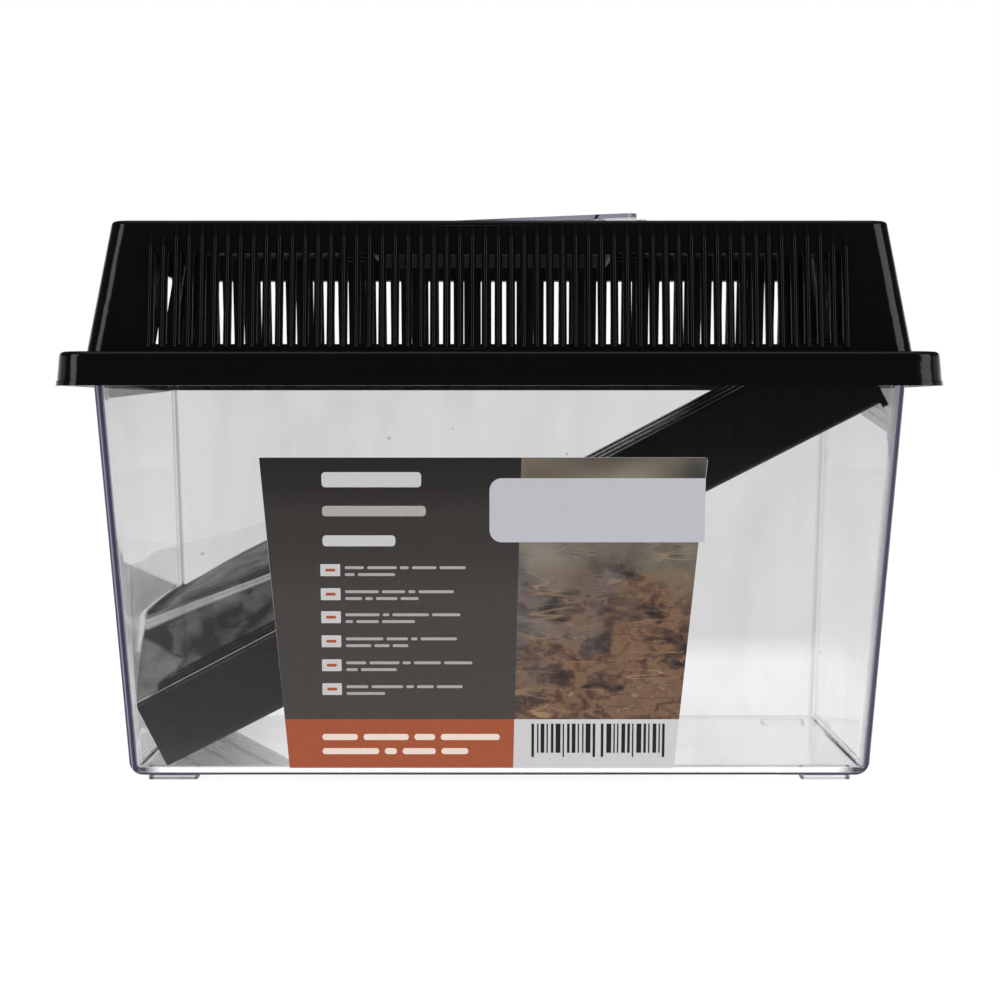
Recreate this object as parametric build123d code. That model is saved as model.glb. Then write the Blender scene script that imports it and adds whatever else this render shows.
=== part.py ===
from build123d import *
import os
from math import atan, cos, degrees, radians, sin, sqrt, tan

# Cricket keeper box: a clear drafted tank, a black ventilated lid with a clear
# flap door, four loose black retreat tubes, a stick-on front label and the
# loose clear bag that lies on the tubes.
# Millimetres. +Z up, front wall towards -Y, origin on the table under the
# middle of the box.

os.makedirs("parts", exist_ok=True)

# ---------------------------------------------------------------- dimensions
# tank
FOOT_H = 1.7              # height of the moulded feet
FOOT_W, FOOT_D = 17.2, 8.0            # length and depth of a foot
FOOT_X = 115.3            # centre of a foot
FOOT_Y = 58.2
TANK_BX, TANK_BY = 130.37, 66.42      # half size of the outer bottom
TANK_KX, TANK_KY = 0.0557, 0.1658     # wall lean, mm out per mm up
TANK_TOP = 147.2          # top of the tank's flange
TANK_WALL = 2.0
TANK_FLOOR = 2.7
TANK_R = 5.2              # vertical corners and bottom edge, outside
FLANGE_X, FLANGE_Y = 146.3, 96.3      # half size of the flange
FLANGE_T = 2.0
FLANGE_LIP = 5.6          # depth of the turned-down edge
# lid
RIM_X, RIM_Y = 149.65, 99.65          # half size of the skirt at its bottom
RIM_Z0, RIM_Z1 = 138.5, 150.0
BEAD_H, BEAD_PROUD = 1.7, 0.35        # thicker band round the skirt's lower edge
RIM_DRAFT = 1.0           # how much the skirt leans in towards the top
RIM_R = 11.0
RIM_EDGE = 1.8            # rounding of the rim's top edge
LID_T = 2.0
DOME_BX, DOME_BY = 140.4, 90.4        # half size of the dome at the rim
DOME_K = 0.1696           # dome wall lean, mm in per mm up
DOME_TOP = 194.8
DOME_R = 7.0
DOME_EDGE = 1.6
# ventilation slots and ribs
SLOTS = 54
SLOT_SPAN = 235.8         # over all slots of one face
SLOT_CX = -0.35           # middle of the row of slots
SLOT_GAP = 1.75
SLOT_Z0, SLOT_Z1 = 152.6, 183.5
SLOT_RISE = 0.3           # the slots' upper ends rise inwards, mm per mm
RIB_W = 1.05              # raised rib on the middle of each bar
RIB_Z0, RIB_Z1 = 151.6, 192.8
RIB_PROUD = 1.1
RIB_RUNOUT = 3.6          # the rib sinks into the wall over this height at its top
# tube ports in the lid's ends
PORT_W = 29.0
PORT_Z0, PORT_Z1 = 152.8, 183.6
PORT_Y_LEFT = (60.0, -20.0)
PORT_Y_RIGHT = (20.0, -60.0)
# flap door
DOOR_X0, DOOR_X1 = -44.0, 40.0        # opening in the lid's top
DOOR_Y = 34.0
DOOR_R = 5.0
COLLAR_T = 1.8
COLLAR_Z = 186.4          # lower edge of the collar round the opening
HATCH_X0, HATCH_X1 = -49.2, 49.6
HATCH_Y = 42.0
HATCH_T = 1.6
HATCH_GAP = 0.2           # under the shut door
HINGE_X, HINGE_Z = -53.0, 196.1
PIN_R = 0.95
PIN_CLEAR = 0.10
HATCH_AJAR = 2.44         # degrees open as stored
# label on the front wall: x at the top and bottom edges, heights
LABEL_TOP = (-81.9, 71.0, 114.2)
LABEL_BOT = (-73.6, 61.2, 4.9)
LABEL_T = 0.15
LABEL_OFF = 0.03
# tubes
TUBE_L = 281.4
TUBE_S, TUBE_B = 24.7, 27.0           # outside, small and big end
TUBE_WALL = 1.3
TUBE_R = 1.8
TUBE_PITCH_DEG = 27.5
TUBE_START = (-122.0, 15.7)           # x, z of the small end's middle
TUBE_Y_LOW = (-49.0, -17.0, 15.0, 47.0)
TUBE_Y_HIGH = (-65.5, -31.5, 2.5, 36.5)
COLLAR_PROUD = 1.8
COLLAR_L = 2.2
# bag
BAG_T = 2.4
BAG_GAP = 0.8


def frustum(bx, by, z0, kx, ky, z1, r0, r1):
    """Straight-sided rounded-rectangle block whose half size changes by k per mm."""
    low = Plane.XY.offset(z0) * RectangleRounded(2 * bx, 2 * by, r0)
    high = Plane.XY.offset(z1) * RectangleRounded(
        2 * (bx + kx * (z1 - z0)), 2 * (by + ky * (z1 - z0)), r1
    )
    return loft([low, high], ruled=True)


def bottom_edges(solid, z):
    return [e for e in solid.edges() if abs(e.center().Z - z) < 0.01 and e.bounding_box().size.Z < 0.01]


def save(name, shape, color=None):
    shape.label = name
    export_step(shape, f"parts/{name}.step")


# ---------------------------------------------------------------- tank
z_floor = FOOT_H + TANK_FLOOR
outer = frustum(TANK_BX, TANK_BY, FOOT_H, TANK_KX, TANK_KY, TANK_TOP, TANK_R, TANK_R)
outer = fillet(bottom_edges(outer, FOOT_H), TANK_R - 0.2)
ix = TANK_BX + TANK_KX * TANK_FLOOR - TANK_WALL
iy = TANK_BY + TANK_KY * TANK_FLOOR - TANK_WALL
inner = frustum(ix, iy, z_floor, TANK_KX, TANK_KY, TANK_TOP + 1, TANK_R - TANK_WALL, TANK_R - TANK_WALL)
inner = fillet(bottom_edges(inner, z_floor), 1.8)

flange = extrude(Plane.XY.offset(TANK_TOP - FLANGE_LIP) * RectangleRounded(2 * FLANGE_X, 2 * FLANGE_Y, 8.0), FLANGE_LIP)
flange_under = extrude(
    Plane.XY.offset(TANK_TOP - FLANGE_LIP - 1) * RectangleRounded(2 * FLANGE_X - 3.6, 2 * FLANGE_Y - 3.6, 6.2),
    FLANGE_LIP + 1 - FLANGE_T,
)
flange = flange - flange_under
tank = outer + flange - inner
for sx in (-1, 1):
    for sy in (-1, 1):
        foot = Pos(sx * FOOT_X, sy * FOOT_Y, 0) * extrude(RectangleRounded(FOOT_W, FOOT_D, 1.2), FOOT_H + 0.6)
        tank = tank + foot
save("tank", tank)

# ---------------------------------------------------------------- front label
lean = atan(TANK_KY)
wall_plane = Plane(
    origin=(0, -TANK_BY, FOOT_H), x_dir=(1, 0, 0), z_dir=(0, -cos(lean), -sin(lean))
)


def up_wall(z):
    return (z - FOOT_H) / cos(lean)


pts = [
    (LABEL_BOT[0], up_wall(LABEL_BOT[2])),
    (LABEL_BOT[1], up_wall(LABEL_BOT[2])),
    (LABEL_TOP[1], up_wall(LABEL_TOP[2])),
    (LABEL_TOP[0], up_wall(LABEL_TOP[2])),
]
label_face = wall_plane.offset(LABEL_OFF) * make_face(Polyline(*pts, close=True))
label = extrude(label_face, LABEL_T, dir=(0, -cos(lean), -sin(lean)))
save("front_label", label)

# ---------------------------------------------------------------- lid
rim_k = RIM_DRAFT / (RIM_Z1 - RIM_Z0)
rim = frustum(RIM_X, RIM_Y, RIM_Z0, -rim_k, -rim_k, RIM_Z1, RIM_R, RIM_R - RIM_DRAFT)
rim = fillet(bottom_edges(rim, RIM_Z1), RIM_EDGE)
rim_in = frustum(
    RIM_X - LID_T + rim_k, RIM_Y - LID_T + rim_k, RIM_Z0 - 1, -rim_k, -rim_k, RIM_Z1 - LID_T, RIM_R - LID_T, RIM_R - LID_T - RIM_DRAFT
)
dome = frustum(DOME_BX + DOME_K * 0.5, DOME_BY + DOME_K * 0.5, RIM_Z1 - 0.5, -DOME_K, -DOME_K, DOME_TOP, DOME_R, DOME_R)
dome = fillet(bottom_edges(dome, DOME_TOP), DOME_EDGE)
wall_h = LID_T * sqrt(1 + DOME_K ** 2)
dz = RIM_Z1 - (RIM_Z1 - LID_T - 1)
dome_in = frustum(
    DOME_BX - wall_h + DOME_K * dz,
    DOME_BY - wall_h + DOME_K * dz,
    RIM_Z1 - LID_T - 1,
    -DOME_K,
    -DOME_K,
    DOME_TOP - LID_T,
    DOME_R - LID_T,
    DOME_R - LID_T,
)
bead = frustum(
    RIM_X + BEAD_PROUD, RIM_Y + BEAD_PROUD, RIM_Z0, -rim_k, -rim_k, RIM_Z0 + BEAD_H, RIM_R + BEAD_PROUD, RIM_R + BEAD_PROUD
)
bead = fillet(bottom_edges(bead, RIM_Z0 + BEAD_H), 0.25)
lid = rim + bead + dome - rim_in - dome_in

# raised ribs on the bars between the slots
pitch = SLOT_SPAN / SLOTS


def dome_y(z):
    return DOME_BY - DOME_K * (z - RIM_Z1)


def rib(z_top):
    y0, ym, y1 = dome_y(RIB_Z0), dome_y(z_top - RIB_RUNOUT), dome_y(z_top)
    side = Polyline(
        (-(y0 - 1.2), RIB_Z0),
        (-(y0 + RIB_PROUD), RIB_Z0),
        (-(ym + RIB_PROUD), z_top - RIB_RUNOUT),
        (-(y1 + 0.02), z_top),
        (-(y1 - 1.2), z_top),
        close=True,
    )
    face = Plane.YZ * make_face(side)
    body = extrude(face, RIB_W / 2, both=True)
    # the two long front edges are rounded off
    front = [
        e
        for e in body.edges()
        if e.bounding_box().size.Z > 20 and e.center().Y < -(dome_y(e.center().Z) + RIB_PROUD * 0.5)
    ]
    return fillet(front, 0.35)


full, short = rib(RIB_Z1), rib(RIB_Z1 - 3.4)
ribs = []
for i in range(SLOTS + 1):
    x = SLOT_CX - SLOT_SPAN / 2 + pitch * i
    one = short if i in (0, 1, SLOTS - 1, SLOTS) else full
    ribs.append(Pos(x, 0, 0) * one)
    ribs.append(Rot(0, 0, 180) * Pos(-x, 0, 0) * one)
lid = lid + ribs

# slots: their section across the wall, cut through it
y_top = dome_y(SLOT_Z1)
slot_side = Polyline(
    (-(y_top + 10.0), SLOT_Z0),
    (-(y_top - 8.0), SLOT_Z0),
    (-(y_top - 8.0), SLOT_Z1 + 8.0 * SLOT_RISE),
    (-y_top, SLOT_Z1),
    (-(y_top + 10.0), SLOT_Z1),
    close=True,
)
slot = extrude(Plane.YZ * make_face(slot_side), SLOT_GAP / 2, both=True)
cuts = []
for i in range(SLOTS):
    x = SLOT_CX - SLOT_SPAN / 2 + pitch * (i + 0.5)
    cuts.append(Pos(x, 0, 0) * slot)
    cuts.append(Rot(0, 0, 180) * Pos(-x, 0, 0) * slot)
lid = lid - cuts

# ports for the tubes in both ends
port_h = PORT_Z1 - PORT_Z0
for sx, ys in ((-1, PORT_Y_LEFT), (1, PORT_Y_RIGHT)):
    for y in ys:
        cutter = Pos(sx * 137, y, (PORT_Z0 + PORT_Z1) / 2) * Rot(0, 90, 0) * extrude(
            RectangleRounded(port_h, PORT_W, 2.5), 12, both=True
        )
        lid = lid - cutter

# door opening with its collar below
door_cx = (DOOR_X0 + DOOR_X1) / 2
door_w = DOOR_X1 - DOOR_X0
collar = Pos(door_cx, 0, COLLAR_Z) * extrude(
    RectangleRounded(door_w + 2 * COLLAR_T, 2 * DOOR_Y + 2 * COLLAR_T, DOOR_R + COLLAR_T), DOME_TOP - 1 - COLLAR_Z
)
# stiffening webs that run from the collar to the lid's top
webs = []
for x in (DOOR_X0 - 8.0, DOOR_X1 + 8.0):
    for y in (-22.0, 0.0, 22.0):
        webs.append(Pos(x, y, (COLLAR_Z + 1.5 + DOME_TOP - 1) / 2) * Box(14.0, 1.6, DOME_TOP - 1 - COLLAR_Z - 1.5))
lid = lid + [collar] + webs
lid = lid - Pos(door_cx, 0, COLLAR_Z - 2) * extrude(RectangleRounded(door_w, 2 * DOOR_Y, DOOR_R), 20)

# hinge lugs on the top, left of the opening
LUG_Y = (-32.0, 32.0)
for y in LUG_Y:
    prof = Plane.XZ.offset(-(y + 2.0)) * (
        Pos(HINGE_X, HINGE_Z) * Circle(2.1)
        + Pos(HINGE_X, (HINGE_Z + DOME_TOP - 1) / 2) * Rectangle(4.2, HINGE_Z - DOME_TOP + 1)
    )
    lid = lid + extrude(prof, 4.0)
    hole = Plane.XZ.offset(-(y + 3.0)) * Pos(HINGE_X, HINGE_Z) * Circle(PIN_R + PIN_CLEAR)
    lid = lid - extrude(hole, 6.0)
save("lid", lid)

# ---------------------------------------------------------------- flap door
z_shut = DOME_TOP + HATCH_GAP
plate = Pos((HATCH_X0 + HATCH_X1) / 2, 0, z_shut) * extrude(
    RectangleRounded(HATCH_X1 - HATCH_X0, 2 * HATCH_Y, 5.0), HATCH_T
)
tab = Pos(HATCH_X1, 0, z_shut) * extrude(RectangleRounded(11.0, 24.0, 3.5), HATCH_T)
hatch = plate + tab
# knuckles outside the lugs, each with a short pin pointing inwards
for sy in (-1, 1):
    yc = sy * 37.4
    arm = Pos((HINGE_X + HATCH_X0 + 8) / 2, yc, z_shut + HATCH_T / 2) * Box(
        HATCH_X0 + 8 - HINGE_X, 6.0, HATCH_T
    )
    knuckle = Plane.XZ.offset(-(yc + 3.0)) * Pos(HINGE_X, HINGE_Z) * Circle(1.25)
    hatch = hatch + arm + extrude(knuckle, 6.0)
    y_pin = sy * 32.5
    pin = Plane.XZ.offset(-(y_pin + 2.3)) * Pos(HINGE_X, HINGE_Z) * Circle(PIN_R)
    hatch = hatch + extrude(pin, 4.6)
# raised locating frame under the plate and the snap tongue at the free end
ring = Pos(door_cx, 0, z_shut - 1.6) * (
    extrude(RectangleRounded(door_w - 6.0, 2 * DOOR_Y - 6.0, 3.5), 1.7)
    - extrude(RectangleRounded(door_w - 9.0, 2 * DOOR_Y - 9.0, 2.0), 1.7)
)
tongue = Pos(DOOR_X1 - 1.0, 0, z_shut - 1.7) * Box(1.1, 16.0, 3.6)
hatch = hatch + ring + tongue
hatch = hatch.rotate(Axis((HINGE_X, 0, HINGE_Z), (0, -1, 0)), HATCH_AJAR)
save("hatch", hatch)

# ---------------------------------------------------------------- tubes
inner_s, inner_b = TUBE_S - 2 * TUBE_WALL, TUBE_B - 2 * TUBE_WALL


def tube_blank():
    """One tube along local +Z: open small end at 0, closed big end at TUBE_L."""
    shell = loft(
        [
            RectangleRounded(TUBE_S, TUBE_S, TUBE_R),
            Plane.XY.offset(TUBE_L) * RectangleRounded(TUBE_B, TUBE_B, TUBE_R),
        ],
        ruled=True,
    )
    cap_z = TUBE_L - TUBE_WALL
    grow = (inner_b - inner_s) / TUBE_L
    bore = loft(
        [
            Plane.XY.offset(-1) * RectangleRounded(inner_s - grow, inner_s - grow, TUBE_R - TUBE_WALL + 0.3),
            Plane.XY.offset(cap_z) * RectangleRounded(inner_s + grow * cap_z, inner_s + grow * cap_z, TUBE_R - TUBE_WALL + 0.3),
        ],
        ruled=True,
    )
    # stop collar on the top and both sides of the big end, flush below
    stop = Pos(0, COLLAR_PROUD / 2, TUBE_L - COLLAR_L) * extrude(
        RectangleRounded(TUBE_B + 2 * COLLAR_PROUD, TUBE_B - 0.1 + COLLAR_PROUD, 1.5), COLLAR_L
    )
    return shell + stop - bore


def place_tube(y0, y1, x0, z0):
    """Local +Z along the tube, local +Y up and away from the floor."""
    run = TUBE_L * cos(radians(TUBE_PITCH_DEG))
    dy = y1 - y0
    dx = sqrt(run ** 2 - dy ** 2)
    d = Vector(dx, dy, TUBE_L * sin(radians(TUBE_PITCH_DEG))).normalized()
    side = d.cross(Vector(0, 0, 1)).normalized()
    plane = Plane(origin=(x0, y0, z0), x_dir=side, z_dir=d)
    return plane.location


blank = tube_blank()
tubes = []
for k in range(4):
    loc = place_tube(TUBE_Y_LOW[k], TUBE_Y_HIGH[k], TUBE_START[0], TUBE_START[1])
    t = loc * blank
    tubes.append(t)
    save(f"tube_{k + 1}", t)

# ---------------------------------------------------------------- clear bag
# A soft film bag: a folded sheet that stands against the back wall, runs
# forward over the tubes and hangs down to their front row.
top_slope = tan(radians(TUBE_PITCH_DEG + degrees(atan((TUBE_B - TUBE_S) / 2 / TUBE_L))))


def tube_top(x):
    """Height of the tubes' upper faces at x."""
    a = radians(TUBE_PITCH_DEG)
    xt = TUBE_START[0] - TUBE_S / 2 * sin(a)
    zt = TUBE_START[1] + TUBE_S / 2 * cos(a)
    return zt + (x - xt) * top_slope


def wall_y(z):
    return TANK_BY + TANK_KY * (z - FOOT_H) - TANK_WALL


def bag_section(x, z_back, z_mid, z_front):
    """Middle line of the sheet at x as (y, z) points, back wall to front."""
    zt = tube_top(x) + BAG_GAP + BAG_T
    return [
        (wall_y(z_back) - 1.6 - BAG_T / 2, z_back),
        (wall_y(z_mid) - 2.2 - BAG_T / 2, z_mid),
        (18.0, z_mid + 2.0),
        (-30.0, z_front),
        (-47.0, max(zt + 2.0, z_front - 14.0)),
        (-57.0, zt + 0.6),
    ]


def band(points, t):
    """Closed outline of a sheet of thickness t round a line of points."""
    left, right = [], []
    n = len(points)
    for i, p in enumerate(points):
        a = points[max(i - 1, 0)]
        b = points[min(i + 1, n - 1)]
        v = Vector(b[0] - a[0], b[1] - a[1], 0).normalized()
        left.append((p[0] - v.Y * t / 2, p[1] + v.X * t / 2))
        right.append((p[0] + v.Y * t / 2, p[1] - v.X * t / 2))
    return left + right[::-1]


stations = [
    (-124.0, 76.0, 61.0, 50.0),
    (-98.0, 82.5, 68.0, 62.0),
    (-62.0, 88.0, 77.0, 74.0),
    (-34.0, 94.0, 88.5, 86.5),
]
sections = []
for x, zb, zm, zf in stations:
    outline = band(bag_section(x, zb, zm, zf), BAG_T)
    sections.append(Plane.YZ.offset(x) * make_face(Polyline(*outline, close=True)))
bag = loft(sections, ruled=True)
save("polybag", bag)

for name, s in (("tank", tank), ("label", label), ("lid", lid), ("hatch", hatch), ("tube", tubes[0]), ("bag", bag)):
    bb = s.bounding_box()
    print(name, "volume cm3", round(s.volume / 1000, 2), "valid", s.is_valid, "min", [round(v, 2) for v in bb.min], "max", [round(v, 2) for v in bb.max])
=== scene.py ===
import math

import bmesh
import bpy
from mathutils import Matrix, Vector, noise


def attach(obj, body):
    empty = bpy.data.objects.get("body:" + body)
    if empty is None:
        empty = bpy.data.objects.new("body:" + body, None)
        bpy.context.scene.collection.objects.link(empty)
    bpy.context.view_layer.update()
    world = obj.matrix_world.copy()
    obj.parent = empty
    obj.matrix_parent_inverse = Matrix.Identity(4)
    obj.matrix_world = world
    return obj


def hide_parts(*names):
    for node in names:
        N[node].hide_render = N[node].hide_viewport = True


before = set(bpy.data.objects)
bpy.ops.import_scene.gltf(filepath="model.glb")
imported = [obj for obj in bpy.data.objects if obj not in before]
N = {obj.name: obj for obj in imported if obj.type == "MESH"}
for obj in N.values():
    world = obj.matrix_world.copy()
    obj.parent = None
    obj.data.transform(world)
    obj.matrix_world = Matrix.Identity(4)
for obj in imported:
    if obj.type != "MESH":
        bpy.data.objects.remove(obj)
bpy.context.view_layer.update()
scene = bpy.context.scene
scene.view_settings.view_transform = "Standard"
scene.view_settings.look = "None"
scene.view_settings.exposure = 0.0
scene.view_settings.gamma = 1.0

# ------------------------------------------------------------------ camera
CAM = Vector((0.0002, -0.830, 0.1308))
PITCH = math.atan(91.4 / 2188.0)
cam_data = bpy.data.cameras.new("camera")
cam_data.sensor_width = 36.0
cam_data.lens = 2188.0 * 36.0 / 1000.0
cam_data.clip_start = 0.02
cam_data.clip_end = 60.0
cam = bpy.data.objects.new("camera", cam_data)
cam.location = CAM
cam.rotation_euler = (math.pi / 2 - PITCH, 0.0, 0.0)
scene.collection.objects.link(cam)
scene.camera = cam


# ------------------------------------------------------------------ helpers
def material(name):
    m = bpy.data.materials.new(name)
    m.use_nodes = True
    nt = m.node_tree
    nt.nodes.clear()
    out = nt.nodes.new("ShaderNodeOutputMaterial")
    return m, nt, out


def node(nt, kind, **kw):
    n = nt.nodes.new(kind)
    for k, v in kw.items():
        if hasattr(n, k):
            setattr(n, k, v)
        else:
            n.inputs[k].default_value = v
    return n


def link(nt, a, b):
    nt.links.new(a, b)


def principled(nt, **kw):
    p = nt.nodes.new("ShaderNodeBsdfPrincipled")
    for k, v in kw.items():
        p.inputs[k].default_value = v
    return p


def coords(nt):
    return nt.nodes.new("ShaderNodeTexCoord").outputs["Object"]


def noise_tex(nt, vec, scale, detail=3.0, rough=0.55, dist=0.0, stretch=None):
    if stretch is not None:
        mp = nt.nodes.new("ShaderNodeMapping")
        mp.inputs["Scale"].default_value = stretch
        link(nt, vec, mp.inputs["Vector"])
        vec = mp.outputs["Vector"]
    t = nt.nodes.new("ShaderNodeTexNoise")
    t.inputs["Scale"].default_value = scale
    t.inputs["Detail"].default_value = detail
    t.inputs["Roughness"].default_value = rough
    t.inputs["Distortion"].default_value = dist
    link(nt, vec, t.inputs["Vector"])
    return t.outputs["Fac"]


def remap(nt, fac, a, b, lo, hi):
    r = nt.nodes.new("ShaderNodeMapRange")
    r.inputs["From Min"].default_value = a
    r.inputs["From Max"].default_value = b
    r.inputs["To Min"].default_value = lo
    r.inputs["To Max"].default_value = hi
    link(nt, fac, r.inputs["Value"])
    return r.outputs["Result"]


def math_node(nt, op, a, b=None, clamp=False):
    n = nt.nodes.new("ShaderNodeMath")
    n.operation = op
    n.use_clamp = clamp
    for i, v in enumerate((a, b)):
        if v is None:
            continue
        if isinstance(v, (int, float)):
            n.inputs[i].default_value = v
        else:
            link(nt, v, n.inputs[i])
    return n.outputs[0]


def mix_color(nt, fac, a, b):
    n = nt.nodes.new("ShaderNodeMix")
    n.data_type = "RGBA"
    if isinstance(fac, (int, float)):
        n.inputs[0].default_value = fac
    else:
        link(nt, fac, n.inputs[0])
    for i, v in ((6, a), (7, b)):
        if isinstance(v, (tuple, list)):
            n.inputs[i].default_value = (*v[:3], 1.0)
        else:
            link(nt, v, n.inputs[i])
    return n.outputs[2]


def bump(nt, height, strength, distance):
    b = nt.nodes.new("ShaderNodeBump")
    b.inputs["Strength"].default_value = strength
    b.inputs["Distance"].default_value = distance
    link(nt, height, b.inputs["Height"])
    return b.outputs["Normal"]


def srgb(r, g, b):
    def f(c):
        c /= 255.0
        return c / 12.92 if c <= 0.04045 else ((c + 0.055) / 1.055) ** 2.4

    return (f(r), f(g), f(b))


def assign(obj, mat):
    obj.data.materials.clear()
    obj.data.materials.append(mat)


def mesh_object(name, verts, faces, mats=(), face_mats=None, smooth=False):
    me = bpy.data.meshes.new(name)
    me.from_pydata([tuple(v) for v in verts], [], faces)
    me.update()
    for m in mats:
        me.materials.append(m)
    if face_mats:
        for p, i in zip(me.polygons, face_mats):
            p.material_index = i
    if smooth:
        for p in me.polygons:
            p.use_smooth = True
    o = bpy.data.objects.new(name, me)
    scene.collection.objects.link(o)
    return o


# ------------------------------------------------------------------ materials
def black_lid():
    m, nt, out = material("black_gloss_plastic")
    c = coords(nt)
    fine = noise_tex(nt, c, 900.0, 4.0, 0.6)
    smear = noise_tex(nt, c, 22.0, 4.0, 0.6, 0.4)
    dust = noise_tex(nt, c, 2600.0, 2.0, 0.5)
    speck = remap(nt, dust, 0.70, 0.78, 0.0, 1.0)
    base = mix_color(nt, speck, (0.0022, 0.0022, 0.0025), (0.012, 0.012, 0.013))
    p = principled(nt, **{"IOR": 1.52, "Metallic": 0.0})
    link(nt, base, p.inputs["Base Color"])
    rough = math_node(nt, "ADD", remap(nt, smear, 0.3, 0.7, 0.08, 0.17), remap(nt, fine, 0.4, 0.7, 0.0, 0.03))
    sep = nt.nodes.new("ShaderNodeSeparateXYZ")
    link(nt, c, sep.inputs[0])
    # the sides of the slots and the inside are dull: they were never polished in the mould
    face_y = remap(nt, sep.outputs["Z"], 0.150, 0.200, 0.0904, 0.08192)
    depth = math_node(nt, "SUBTRACT", face_y, math_node(nt, "ABSOLUTE", sep.outputs["Y"]))
    dull = remap(nt, depth, 0.0002, 0.0006, 0.0, 1.0)
    for axis, a_, b_ in ((sep.outputs["Z"], 0.1925, 0.1929), (math_node(nt, "ABSOLUTE", sep.outputs["X"]), 0.1195, 0.1205)):
        dull = math_node(nt, "MULTIPLY", dull, remap(nt, axis, a_, b_, 1.0, 0.0))
    dull = math_node(nt, "MULTIPLY", dull, remap(nt, sep.outputs["Z"], 0.1512, 0.1518, 0.0, 1.0))
    dull = math_node(nt, "MULTIPLY", dull, 0.5)
    link(nt, math_node(nt, "ADD", rough, dull), p.inputs["Roughness"])
    ends = remap(nt, math_node(nt, "ABSOLUTE", sep.outputs["X"]), 0.112, 0.124, 0.10, 1.0)
    wave = math_node(nt, "MULTIPLY", noise_tex(nt, c, 75.0, 3.0, 0.6, 0.3), ends)
    link(nt, bump(nt, wave, 0.55, 0.0006), p.inputs["Normal"])
    link(nt, p.outputs[0], out.inputs["Surface"])
    return m


def black_tube():
    m, nt, out = material("black_satin_plastic")
    c = coords(nt)
    fine = noise_tex(nt, c, 1400.0, 3.0, 0.6)
    smear = noise_tex(nt, c, 35.0, 4.0, 0.6, 0.3)
    p = principled(nt, **{"IOR": 1.5})
    base = mix_color(nt, smear, (0.0022, 0.0022, 0.0022), (0.0050, 0.0046, 0.0044))
    link(nt, base, p.inputs["Base Color"])
    link(nt, remap(nt, smear, 0.3, 0.7, 0.20, 0.32), p.inputs["Roughness"])
    link(nt, bump(nt, fine, 0.06, 0.0001), p.inputs["Normal"])
    link(nt, p.outputs[0], out.inputs["Surface"])
    return m


def mix_value(nt, fac, a, b):
    n = nt.nodes.new("ShaderNodeMix")
    n.data_type = "FLOAT"
    link(nt, fac, n.inputs[0])
    link(nt, a, n.inputs[2])
    link(nt, b, n.inputs[3])
    return n.outputs[0]


def band(nt, v, a, b):
    """1 between a and b, soft at both ends."""
    s = (b - a) * 0.2
    return math_node(nt, "MULTIPLY", remap(nt, v, a, a + s, 0.0, 1.0), remap(nt, v, b - s, b, 1.0, 0.0))


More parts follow.
